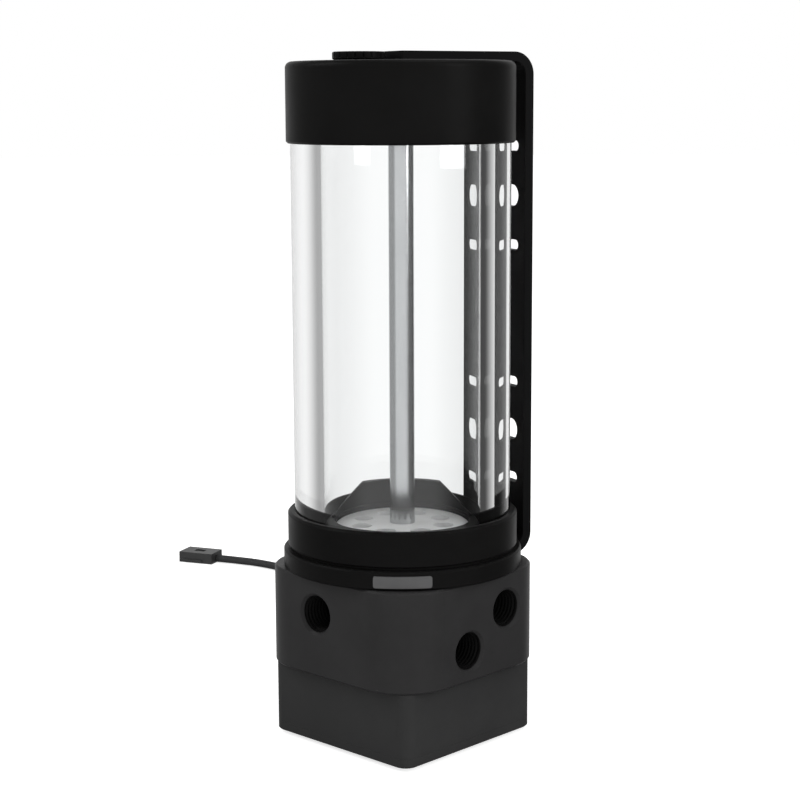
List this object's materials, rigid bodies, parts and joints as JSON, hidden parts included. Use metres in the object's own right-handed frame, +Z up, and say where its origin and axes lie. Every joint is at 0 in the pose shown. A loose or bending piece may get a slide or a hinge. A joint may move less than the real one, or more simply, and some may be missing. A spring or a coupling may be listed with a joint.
{
  "type": "coolant pump reservoir",
  "caption": "Upright clear tank tube on a square liquid-cooling pump, with threaded ports, a screw-in fill plug and a slotted C-shaped mounting bracket.",
  "frame": {"origin": "centre of the underside's pad, on the floor and on the tank's axis", "axes": "+Z up along the tank, -Y and +X out of the two faces with ports, +Y out of the pump's rear, with the mounting bracket turned 17 degrees from +Y towards +X"},
  "size_m": [0.2697, 0.1526, 0.2176],
  "materials": {
    "housing_black": "moulded black, satin",
    "acetal_black": "machined black acetal, satin",
    "tube_clear": "clear polished acrylic",
    "bracket_black": "fine black powder coat",
    "rod_steel": "stainless, turned",
    "inlet_grey": "satin anodised",
    "screw_black": "blackened steel",
    "screw_steel": "zinc-plated steel",
    "seal_rubber": "black EPDM",
    "pad_rubber": "soft foam rubber",
    "board_green": "solder mask",
    "chip_black": "moulded epoxy",
    "core_steel": "laminated silicon steel",
    "coil_copper": "enamelled copper wire",
    "can_plastic": "glass-filled PPS",
    "shaft_ceramic": "polished ceramic",
    "bush_carbon": "carbon bush",
    "magnet_ferrite": "ferrite",
    "impeller_plastic": "moulded, natural",
    "lead_sheath": "black sleeve",
    "connector_black": "moulded nylon",
    "contact_brass": "tin-flashed brass"
  },
  "bodies": {
    "base": {"base_pad": "pad_rubber", "bottom_plate": "housing_black", "pump_housing": "housing_black", "housing_screws": "screw_steel", "circuit_board": "board_green", "board_parts": "chip_black", "stator_core": "core_steel", "stator_coils": "coil_copper", "pump_can": "can_plastic", "rotor_shaft": "shaft_ceramic", "pump_oring": "seal_rubber", "pump_top": "acetal_black", "bracket": "bracket_black", "bracket_foot_screws": "screw_black", "flange_oring": "seal_rubber", "base_flange": "acetal_black", "flange_screws": "screw_black", "tube_gasket": "seal_rubber", "spigot_oring": "seal_rubber", "collar": "acetal_black", "tank_tube": "tube_clear", "inlet_plate": "inlet_grey", "flow_deflector": "acetal_black", "tie_rod": "rod_steel", "cap_oring": "seal_rubber", "cap": "acetal_black", "tie_rod_screw": "screw_steel", "bracket_arm_screws": "screw_black", "lead_relief": "lead_sheath", "pump_lead": "lead_sheath", "lead_connector": "connector_black", "connector_sockets": "contact_brass"},
    "rotor": {"impeller": "impeller_plastic", "rotor_magnet": "magnet_ferrite", "rotor_bush": "bush_carbon"},
    "plug_seal": {"fill_plug_oring": "seal_rubber"},
    "plug": {"fill_plug": "acetal_black"}
  },
  "joints": [
    {"name": "impeller_spin", "type": "hinge", "parent": "base", "child": "rotor", "pos_m": [0, 0, 0.02], "axis": [0, 0, 1], "continuous": true},
    {"name": "plug_lift", "type": "slide", "parent": "base", "child": "plug_seal", "axis": [0, 0, 1], "range_m": [0, 0.00936]},
    {"name": "plug_turn", "type": "hinge", "parent": "plug_seal", "child": "plug", "pos_m": [-0.00424, -0.01387, 0.2146], "axis": [0, 0, 1], "range_deg": [0, 2520]}
  ],
  "couplings": [
    {"joint": "plug_turn", "follows": "plug_lift", "rad_per_m": 4699}
  ]
}
